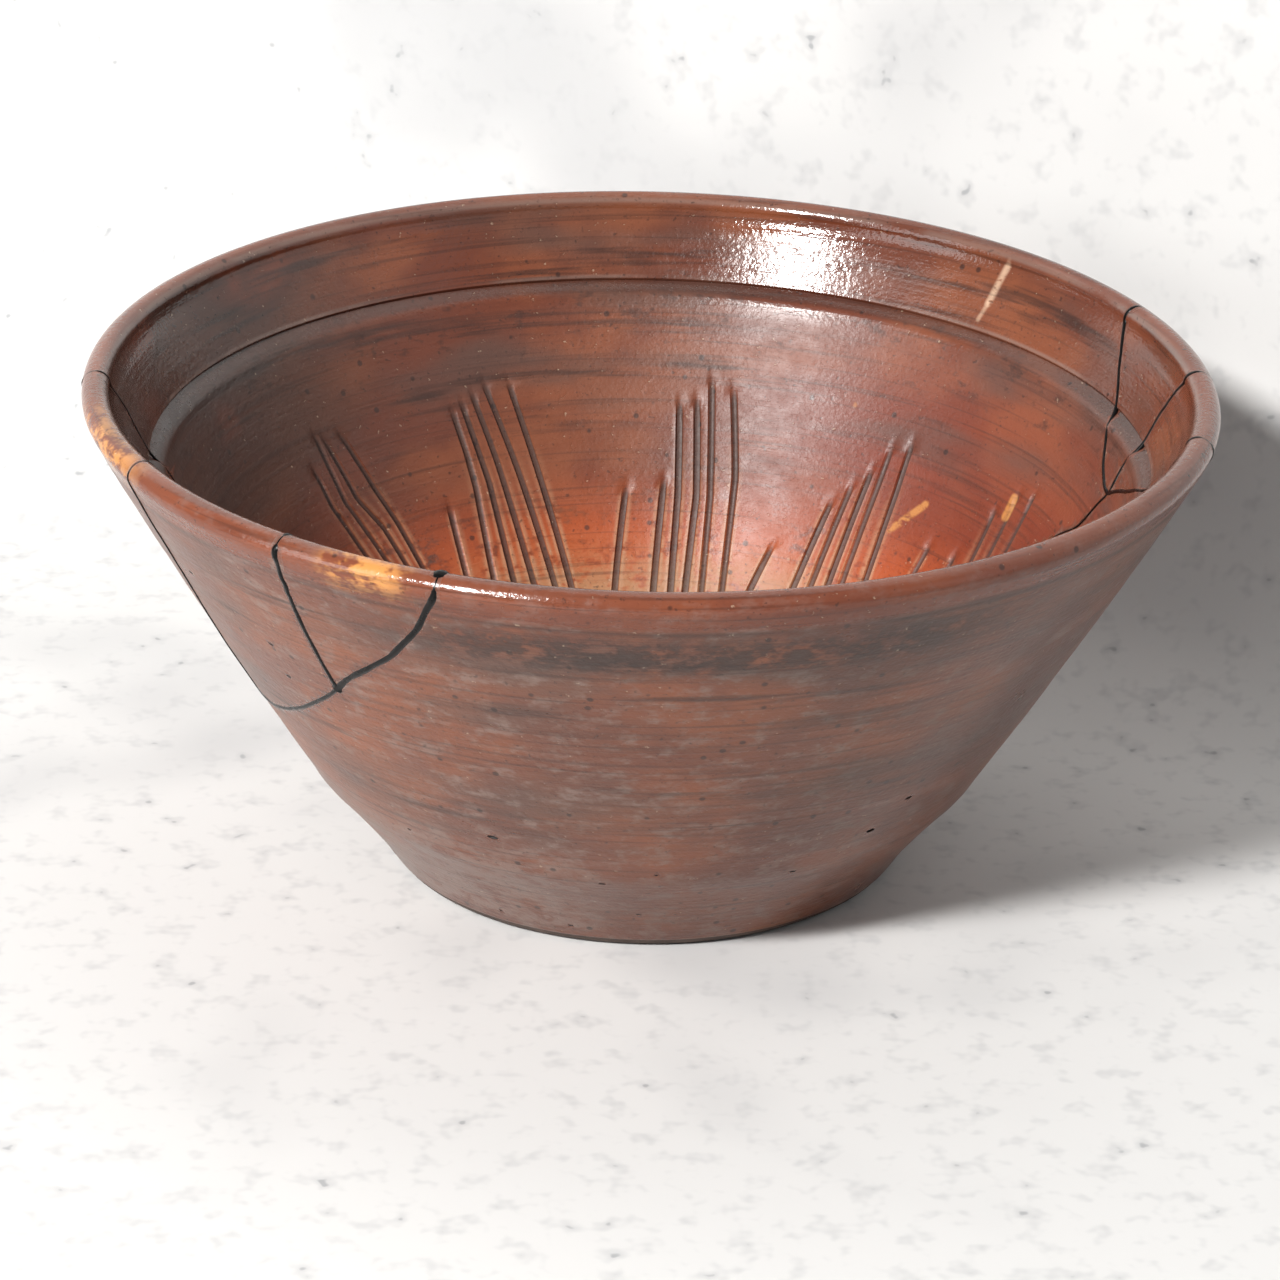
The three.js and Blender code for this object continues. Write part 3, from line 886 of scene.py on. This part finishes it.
def newMaterial(name):
    material = bpy.data.materials.new(name)
    material.use_nodes = True
    tree = material.node_tree
    tree.nodes.clear()
    return material, tree


def blackLacquer():
    # hand-laid urushi: deep black, glossy with a faint brush waver
    material, tree = newMaterial("brushedBlackLacquer")
    place = addNode(tree, "ShaderNodeTexCoord").outputs["Object"]
    waver = addNode(tree, "ShaderNodeTexNoise", {"Vector": place, "Scale": 320.0, "Detail": 2.0})
    gloss = addNode(tree, "ShaderNodeMapRange", {"Value": waver, "To Min": 0.2, "To Max": 0.38})
    bump = addNode(tree, "ShaderNodeBump", {"Height": waver, "Strength": 0.15, "Distance": 0.0002})
    shader = addNode(tree, "ShaderNodeBsdfPrincipled", {
        "Base Color": linearColour("#070606"), "Roughness": gloss, "IOR": 1.5,
        "Specular IOR Level": 0.15, "Normal": bump,
    })
    addNode(tree, "ShaderNodeOutputMaterial", {"Surface": shader})
    return material


def bareStoneware():
    # unglazed stoneware body: dry grey-brown clay with fine grit
    material, tree = newMaterial("bareStoneware")
    place = addNode(tree, "ShaderNodeTexCoord").outputs["Object"]
    tone = addNode(tree, "ShaderNodeTexNoise", {"Vector": place, "Scale": 140.0, "Detail": 5.0})
    grit = addNode(tree, "ShaderNodeTexNoise", {"Vector": place, "Scale": 900.0, "Detail": 3.0})
    colour = addNode(tree, "ShaderNodeMix", {
        "Factor": tone, 6: linearColour("#3b2f2a"), 7: linearColour("#6c5b51"),
    }, data_type="RGBA")
    bump = addNode(tree, "ShaderNodeBump", {"Height": grit, "Strength": 0.6, "Distance": 0.0004})
    shader = addNode(tree, "ShaderNodeBsdfPrincipled", {
        "Base Color": colour.outputs[2], "Roughness": 0.85, "Normal": bump,
    })
    addNode(tree, "ShaderNodeOutputMaterial", {"Surface": shader})
    return material


# the numbers called gloss are shares of roughness, so the lower one is the shinier
glazeLook = {
    "redBrown": "#6d3f2e",
    "orangeBrown": "#874d31",
    "smoke": "#52413a",
    # streaks, and also painted shade under the lip and on the outer right
    "streak": "#2d1d18",
    # real ash mottle, and also painted light on the foot, the ring's edge and the lip
    "ash": "#8a776e",
    "lip": "#743a25",
    "lipWear": "#cc8c4a",
    "upperInside": "#683624",
    # painted shade in the ring's groove
    "ringShade": "#30201b",
    "red": "#82301a",
    "lowOrange": "#b4501f",
    "tan": "#a98560",
    # smoke, and painted shade on the inner left wall
    "smokedLeft": "#2c231f",
    # painted shade in the comb grooves
    "groove": "#433029",
    # ridges worn pale beside the comb grooves, also painted lighter as a highlight
    "grooveEdge": "#b48868",
    "speck": "#1f1614",
    # pale specks, partly painted glints
    "paleSpeck": "#d2bda2",
    "scar": "#d9b79a",
    "outsideGloss": 0.36,
    "upperGloss": 0.24,
    "lowerGloss": 0.47,
    "lipGloss": -0.2,
    "cloudGloss": 0.3,
    "mottleGloss": 0.28,
    "grooveGloss": 0.1,
    "leastGloss": 0.14,
    "mostGloss": 0.8,
    "throwingLines": 0.05,
    "grain": 0.07,
    "pinholes": 0.3,
}


def layer(tree, below, hexColour, *masks):
    # a mask is a share, or a source with the values at which there is none and all of the colour
    factors = [
        addNode(tree, "ShaderNodeMapRange", mask, interpolation_type="SMOOTHSTEP")
        if isinstance(mask, tuple) else mask for mask in masks
    ]
    share = factors[0]
    for factor in factors[1:]:
        share = addNode(tree, mathNode, [share, factor], operation="MULTIPLY")
    colours = {0: share, 6: below, 7: linearColour(hexColour)}
    return addNode(tree, "ShaderNodeMix", colours, data_type="RGBA").outputs[2]


def noiseAt(tree, place, scales, detail=4.0, roughness=0.55, seed=0.0):
    # scales are features per metre along x, y and z
    scaled = addNode(tree, "ShaderNodeVectorMath", [place, scales], operation="MULTIPLY")
    shifted = addNode(tree, "ShaderNodeVectorMath", [scaled, (seed, seed, seed)], operation="ADD")
    return addNode(tree, "ShaderNodeTexNoise", {
        "Vector": shifted, "Scale": 1.0, "Detail": detail, "Roughness": roughness,
    }).outputs[0]


def specksAt(tree, place, scale, size, share):
    # round specks in some of the cells of a grid this many cells to a metre
    cells = addNode(tree, "ShaderNodeTexVoronoi", {"Vector": place, "Scale": scale})
    chosen = addNode(tree, "ShaderNodeSeparateColor", [cells.outputs["Color"]])
    picked = addNode(tree, mathNode, [chosen, share], operation="LESS_THAN")
    edge = [cells.outputs["Distance"], size, size * 0.5]
    near = addNode(tree, "ShaderNodeMapRange", edge, interpolation_type="SMOOTHSTEP")
    return addNode(tree, mathNode, [near, picked], operation="MULTIPLY")


def nearLine(tree, place, start, end, reach):
    # 1 close to a line between two (angle, height) places on the inner wall; reach in mm
    add = partial(addNode, tree)
    first, last = (Vector(wallStation(*point, "inner")[0] * millimetre) for point in (start, end))
    span = last - first
    along = add("ShaderNodeVectorMath", [place, tuple(first)], operation="SUBTRACT")
    share = add("ShaderNodeVectorMath", [along, tuple(span)], operation="DOT_PRODUCT").outputs["Value"]
    share = add(mathNode, [share, max(span.length_squared, 1e-9)], operation="DIVIDE")
    share = add("ShaderNodeClamp", [share])
    foot = add("ShaderNodeVectorMath", {0: tuple(span), "Scale": share}, operation="SCALE")
    away = add("ShaderNodeVectorMath", [along, foot], operation="DISTANCE").outputs["Value"]
    edge = [away, reach * millimetre, reach * 0.45 * millimetre]
    return add("ShaderNodeMapRange", edge, interpolation_type="SMOOTHSTEP")


def pooledGlaze():
    # glaze that pooled dark and rough in the burst bubbles
    material, tree = newMaterial("pooledDarkGlaze")
    place = addNode(tree, "ShaderNodeTexCoord").outputs["Object"]
    tone = noiseAt(tree, place, (400, 400, 400), 2.0)
    colour = layer(tree, linearColour(glazeLook["speck"]), glazeLook["smoke"], (tone, 0.45, 0.75))
    shader = addNode(tree, "ShaderNodeBsdfPrincipled", {
        "Base Color": colour, "Roughness": 0.6, "IOR": 1.5,
    })
    addNode(tree, "ShaderNodeOutputMaterial", {"Surface": shader})
    return material


def ironGlaze():
    # iron-red stoneware glaze: streaked by throwing, smoked, worn orange where it was ground,
    # with painted shade on the inner left, the outer right, the ring, the comb grooves and under the lip,
    # and painted light on the front-left foot, the ring's edge, the lip's inner shoulder and in glints
    look = glazeLook
    material, tree = newMaterial("ironGlazedStoneware")
    add = partial(addNode, tree)
    place = add("ShaderNodeTexCoord").outputs["Object"]
    given = {
        name: add("ShaderNodeAttribute", attribute_name=name).outputs["Fac"]
        for name in ["insideWall", "combCut", "combWorn", "cloudTone", "broadTone", "wallHeight", *zones]
    }
    inside, cut, worn, clouds, broad, height = list(given.values())[:6]

    def between(low, high, soft):
        above, below = (
            add("ShaderNodeMapRange", [height, *ends], interpolation_type="SMOOTHSTEP")
            for ends in ((low - soft, low + soft), (high + soft, high - soft))
        )
        return add(mathNode, [above, below], operation="MULTIPLY")

    bands = noiseAt(tree, place, (14, 14, 210), 3.0, 0.68)
    mottle = noiseAt(tree, place, (130, 130, 240), 3.0, 0.72, 11.0)
    grain = noiseAt(tree, place, (620, 620, 760), 2.0, 0.6)
    fineLines = noiseAt(tree, place, (12, 12, 800), 2.0, 0.6, 5.0)

    outer = linearColour(look["redBrown"])
    for name, *masks in (
        ("orangeBrown", (clouds, 0.40, 0.66)),
        ("smoke", (broad, 0.48, 0.68), 0.75),
        ("ash", (mottle, 0.46, 0.72), 0.6),
        ("streak", (bands, 0.57, 0.72), 0.55),
        # the lower wall, below the ridge, is a little darker
        ("smoke", between(2, 31, 4), 0.2),
        # painted shade: the outer right side, away from the key light, is darkened
        ("streak", given["paintedShadeRightZone"], (broad, 0.3, 0.5), 0.42),
        # painted light: the front-left foot is painted paler in the ash colour, where the key light falls
        ("ash", given["paintedLightFootZone"], (mottle, 0.36, 0.52), 0.5),
        ("streak", given["smudgeZone"], (mottle, 0.34, 0.54), 0.8),
        ("lip", (height, 116.5, 118.5), 0.6),
        # painted shade: a dark line in the crease under the lip's overhang
        ("streak", between(115.6, 116.9, 0.7), (clouds, 0.3, 0.5), 0.6),
        ("lipWear", given["lipWearZone"], (mottle, 0.40, 0.58), 0.9),
    ):
        outer = layer(tree, outer, look[name], *masks)

    half = bowl["ringWidth"] / 2
    # painted highlight: a pale band just above the ring's groove
    paintedRingHighlight = between(ringHeight + half + 0.2, ringHeight + half + 1.0, 0.4)
    inner = linearColour(look["upperInside"])
    for name, *masks in (
        ("orangeBrown", (clouds, 0.42, 0.62), 0.75),
        ("red", given["redZone"], 0.55),
        ("smoke", (broad, 0.46, 0.64), 0.7),
        ("streak", (bands, 0.54, 0.70), (height, 55, 85), 0.7),
        ("streak", (mottle, 0.56, 0.70), between(88, 108, 5), 0.5),
        ("lowOrange", given["lowOrangeZone"], (mottle, 0.25, 0.5), 0.9),
        ("tan", given["tanZone"], (mottle, 0.34, 0.56), 0.85),
        # the inner left wall is smoked, and also darkened with painted shade
        ("smokedLeft", given["smokeAndShadeZone"], (clouds, 0.3, 0.5), 0.75),
        # painted shade in the ring's groove, and a painted highlight along its upper edge
        ("ringShade", between(ringHeight - half, ringHeight + half, 0.5), 0.5),
        ("ash", paintedRingHighlight, (clouds, 0.40, 0.55), 0.5),
        # painted shade: the comb grooves are darkened
        ("groove", (cut, 0.15, 0.7), 0.85),
        # the ridges beside the grooves are worn pale, with a painted highlight as well
        ("grooveEdge", (worn, 0.25, 0.85), (height, 74, 34), (mottle, 0.33, 0.5), 0.9),
        # painted reflection: a pale band along the lip's inner shoulder, where the sky shows along the
        # rim's edge
        ("ash", between(124.5, 125.8, 0.5), (clouds, 0.3, 0.45), 0.5),
    ):
        inner = layer(tree, inner, look[name], *masks)
    for name, *line in scars:
        inner = layer(tree, inner, look[name], nearLine(tree, place, *line), (mottle, 0.36, 0.5), 0.7)

    colour = add("ShaderNodeMix", {0: inside, 6: outer, 7: inner}, data_type="RGBA").outputs[2]
    pinholes = specksAt(tree, place, 230.0, 0.24, 0.14)
    for name, *masks in (
        ("speck", pinholes, 0.7),
        ("speck", (grain, 0.62, 0.75), 0.55),
        # pale specks, partly painted glints on the glaze
        ("paleSpeck", (grain, 0.31, 0.22), 0.35),
        ("streak", (fineLines, 0.52, 0.72), 0.4),
    ):
        colour = layer(tree, colour, look[name], *masks)

    # the outside's own gloss, then what each other part adds to it
    aboveRing, belowRing, onLip, inGroove = (
        add("ShaderNodeMapRange", ends, interpolation_type="SMOOTHSTEP")
        for ends in ((height, 96, 108), (height, 106, 98), (height, 116, 121), (cut, 0.1, 0.6))
    )
    upper = add(mathNode, [inside, aboveRing], operation="MULTIPLY")
    lower = add(mathNode, [inside, belowRing], operation="MULTIPLY")
    cloudShift = add(mathNode, [clouds, 0.5], operation="SUBTRACT")
    mottleShift = add(mathNode, [mottle, 0.5], operation="SUBTRACT")
    gloss = look["outsideGloss"]
    for source, gain in (
        (upper, look["upperGloss"] - look["outsideGloss"]),
        (lower, look["lowerGloss"] - look["outsideGloss"]),
        (onLip, look["lipGloss"]),
        (cloudShift, look["cloudGloss"]),
        (mottleShift, look["mottleGloss"]),
        (inGroove, look["grooveGloss"]),
    ):
        gloss = add(mathNode, [source, gain, gloss], operation="MULTIPLY_ADD")
    gloss = add("ShaderNodeClamp", [gloss, look["leastGloss"], look["mostGloss"]])

    isPit = add(mathNode, [grain, 0.34], operation="LESS_THAN")
    relief = add(mathNode, [fineLines, look["throwingLines"] * 2], operation="MULTIPLY")
    relief = add(mathNode, [grain, look["grain"] * 2, relief], operation="MULTIPLY_ADD")
    relief = add(mathNode, [isPit, -look["pinholes"], relief], operation="MULTIPLY_ADD")
    bump = add("ShaderNodeBump", {"Height": relief, "Strength": 1.0, "Distance": millimetre})
    shader = add("ShaderNodeBsdfPrincipled", {
        "Base Color": colour, "Roughness": gloss, "IOR": 1.52, "Normal": bump,
    })
    add("ShaderNodeOutputMaterial", {"Surface": shader})
    return material


# small marks on the inner wall: colour, first and last (angle, height), half width in mm
scars = [
    ("scar", (44.3, 125.0), (45.1, 114), 1.9),
    ("scar", (45.1, 114), (45.7, 109.7), 1.5),
    ("lipWear", (42, 65.5), (46.6, 57.4), 1.6),
    ("lipWear", (25.4, 76), (25.2, 71.5), 1.7),
    ("lipWear", (59.4, 83.4), (59.4, 83.0), 1.3),
    ("paleSpeck", (70.8, 86.1), (70.8, 85.9), 1.0),
    ("lipWear", (134, 119.5), (134.6, 117.5), 1.2),
]


# Stage

stage = {
    "pale": "#d9d9d8",
    "grey": "#bcbdbe",
    "pit": "#8d9094",
    "floorWidth": 3.2,
    "frontEdge": -1.6,
    "wallStart": 0.09,
    "bend": 0.1,
    "turn": -24,
    "wallHeight": 1.6,
}
lamps = {  # direction from the bowl, distance, size, watts, colour
    "windowKey": ((-0.49, -0.64, 0.62), 2.0, (0.3, 0.22), 56, "#fffdfb"),
    "leftWindow": ((-0.9, -0.45, 0.32), 1.6, (0.7, 0.7), 6, "#ffffff"),
    "rightWall": ((0.92, -0.38, 0.42), 1.6, (0.9, 0.9), 1.0, "#f4f7ff"),
}
lampAim = (0, 0, 0.07)
room = {"colour": "#f3f5f8", "light": 0.1, "inReflections": 0.32, "seenDirectly": 0.85}
# found by fitting the rim, ring, wall outline and foot of the bowl in the picture
photoCamera = {
    "lens": 118.125,
    "sensor": 36,
    "place": (0, -0.977364, 0.473474),
    "right": (0.9998696, 0.00791971, 0.01407329),
    "up": (-0.01605668, 0.39468564, 0.91867591),
    "back": (0.00172112, -0.91878209, 0.39476133),
}


def paleFloor():
    # pale cast plaster with grey clouds and small pits
    material, tree = newMaterial("paleCastPlaster")
    place = addNode(tree, "ShaderNodeTexCoord").outputs["Object"]
    clouds = noiseAt(tree, place, (7, 7, 7), 2.0, 0.65)
    mottle = noiseAt(tree, place, (110, 110, 110), 2.0, 0.7, 2.0)
    colour = layer(tree, linearColour(stage["pale"]), stage["grey"], (clouds, 0.5, 0.75), 0.8)
    colour = layer(tree, colour, stage["grey"], (mottle, 0.5, 0.72), 0.55)
    colour = layer(tree, colour, stage["pit"], (mottle, 0.69, 0.75), 0.6)
    shader = addNode(tree, "ShaderNodeBsdfPrincipled", {"Base Color": colour, "Roughness": 0.75})
    # the back of the backdrop is clear, so that the bowl can be seen from behind it
    isBack = addNode(tree, "ShaderNodeNewGeometry").outputs["Backfacing"]
    clear = addNode(tree, "ShaderNodeBsdfTransparent")
    shown = addNode(tree, "ShaderNodeMixShader", [isBack, shader, clear])
    addNode(tree, "ShaderNodeOutputMaterial", {"Surface": shown})
    return material


def buildStage():
    profile = [(stage["frontEdge"], 0), (-0.1, 0), (stage["wallStart"], 0)]
    for turn in np.linspace(0, math.pi / 2, 13)[1:]:
        profile.append((
            stage["wallStart"] + stage["bend"] * math.sin(turn), stage["bend"] * (1 - math.cos(turn))
        ))
    profile.append((stage["wallStart"] + stage["bend"], stage["wallHeight"]))
    half = stage["floorWidth"] / 2
    vertices = [(side * half, y, z) for y, z in profile for side in (-1, 1)]
    faces = [(2 * i, 2 * i + 1, 2 * i + 3, 2 * i + 2) for i in range(len(profile) - 1)]
    floor = meshObject("pale_floor", vertices, faces)
    floor.data.transform(Matrix.Rotation(math.radians(stage["turn"]), 4, "Z"))
    floor.data.materials.append(paleFloor())
    for face in floor.data.polygons:
        face.use_smooth = True


def areaLamp(name, direction, distance, size, watts, colour):
    lamp = bpy.data.lights.new(name, "AREA")
    lamp.shape = "RECTANGLE"
    lamp.size, lamp.size_y = size
    lamp.energy = watts
    lamp.color = linearColour(colour)[:3]
    holder = bpy.data.objects.new(name, lamp)
    way = Vector(direction).normalized()
    holder.location = Vector(lampAim) + way * distance
    holder.rotation_euler = way.to_track_quat("Z", "Y").to_euler()
    bpy.context.scene.collection.objects.link(holder)


def lightBowl():
    for name, settings in lamps.items():
        areaLamp(name, *settings)
    world = bpy.data.worlds.new("paleRoom")
    bpy.context.scene.world = world
    world.use_nodes = True
    tree = world.node_tree
    tree.nodes.clear()
    # the room is brighter in the glaze's reflections than it lights the shadows
    ray = addNode(tree, "ShaderNodeLightPath").outputs
    strength = room["light"]
    for kind, gain in (("Is Glossy Ray", room["inReflections"]), ("Is Camera Ray", room["seenDirectly"])):
        strength = addNode(tree, mathNode, [ray[kind], gain, strength], operation="MULTIPLY_ADD")
    sky = addNode(tree, "ShaderNodeBackground", [linearColour(room["colour"]), strength])
    addNode(tree, "ShaderNodeOutputWorld", {"Surface": sky})


def placeCamera():
    lens = bpy.data.cameras.new("photoCamera")
    lens.lens = photoCamera["lens"]
    lens.sensor_width = photoCamera["sensor"]
    lens.clip_end = 20
    camera = bpy.data.objects.new("photoCamera", lens)
    turn = Matrix([photoCamera[way] for way in ("right", "up", "back")]).transposed()
    camera.matrix_world = Matrix.Translation(photoCamera["place"]) @ turn.to_4x4()
    bpy.context.scene.collection.objects.link(camera)
    bpy.context.scene.camera = camera


bpy.context.scene.view_settings.view_transform = "Standard"
placeCamera()
lightBowl()
buildStage()

glaze = ironGlaze()
clay = bareStoneware()
darkPit = pooledGlaze()
lacquer = blackLacquer()

pot = unrolledClay()
growWith(pot, throwBowlTree(), {
    "Rim Radius": bowl["rimRadius"], "Rim Height": bowl["rimHeight"], "Rim Rise": bowl["rimRise"],
    "Rim Rise Angle": math.radians(bowl["rimRiseAngle"]), "Throwing Relief": bowl["throwingRelief"],
    "Throwing Spacing": bowl["throwingSpacing"], "Lumps": bowl["lumps"], "Lump Size": bowl["lumpSize"],
    "Out Of Round": bowl["outOfRound"], "Comb Depth": comb["depth"], "Wall Lean": wallLean,
    "Seed": float(bowl["seed"]), "Glaze": glaze, "Clay": clay,
})
print("bowl thrown:", len(pot.data.polygons), "faces")

bubbles = bubblePoints()
growWith(bubbles, burstBubblesTree(), {"Wall Lean": wallLean, "Roundness": 2, "Glaze": darkPit})
combine(pot, [bubbles], "DIFFERENCE")
discard([bubbles])
print("burst bubbles cut:", len(pot.data.polygons), "faces")

surface = BVHTree.FromObject(pot, bpy.context.evaluated_depsgraph_get())
lacquerTree = layLacquerTree()
mends = {
    "left_lacquer_join": ["frontRight", "frontLeft", "underside", "side", "farSide"],
    "right_lacquer_join": ["rightBack", "rightMiddle", "rightFront", "openCrack"],
}
seams = []
cutters = []
for mend, names in mends.items():
    sheets = [seamSheet(name) for name in names]
    for sheet in sheets:
        sheet.data.materials.append(clay)
    whole = combine(sheets[0], sheets[1:], "UNION")
    beads = [bead for name in names for bead in seamBeads(name, surface, lacquerTree, lacquer)]
    crowns = combine(beads[0], beads[1:], "UNION")
    filling = bpy.data.objects.new(mend + "_visual", whole.data.copy())
    bpy.context.scene.collection.objects.link(filling)
    combine(filling, [pot], "INTERSECT")
    combine(filling, [crowns], "UNION")
    filling.data.materials.clear()
    filling.data.materials.append(lacquer)
    for face in filling.data.polygons:
        face.material_index = 0
    discard(sheets[1:] + beads[1:])
    seams.append((mend, filling))
    cutters += [whole, crowns]
    print(mend, "laid:", len(filling.data.polygons), "faces")

combine(pot, cutters, "DIFFERENCE")
discard(cutters)
parts = looseParts(pot)
print("clay in", len(parts), "loose parts")
discard([pot])

ceramicNodes = [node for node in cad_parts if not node.endswith("join")]
middles = {node: sum(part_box(node), Vector()) / 2 for node in ceramicNodes}
smallestSherd = 60  # vertices; smaller shells are chips, or bubbles wholly inside the clay
clayCrease, lacquerCrease = 42, 50
for part in sorted(parts, key=lambda part: -len(part.data.vertices)):
    if len(part.data.vertices) < smallestSherd:
        discard([part])
        continue
    corners = np.array([list(vertex.co) for vertex in part.data.vertices])
    middle = Vector((corners.min(0) + corners.max(0)) / 2)
    node = min(middles, key=lambda name: (middles[name] - middle).length)
    offset = (middles.pop(node) - middle).length / millimetre
    print(f"{node}: {len(part.data.vertices)} vertices, middle {offset:.2f} mm from the CAD piece's")
    part.name = node + "_visual"
    creaseSharpEdges(part, clayCrease)
    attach(part, "root")
    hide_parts(node)
for mend, whole in seams:
    creaseSharpEdges(whole, lacquerCrease)
    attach(whole, "root")
    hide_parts(mend)
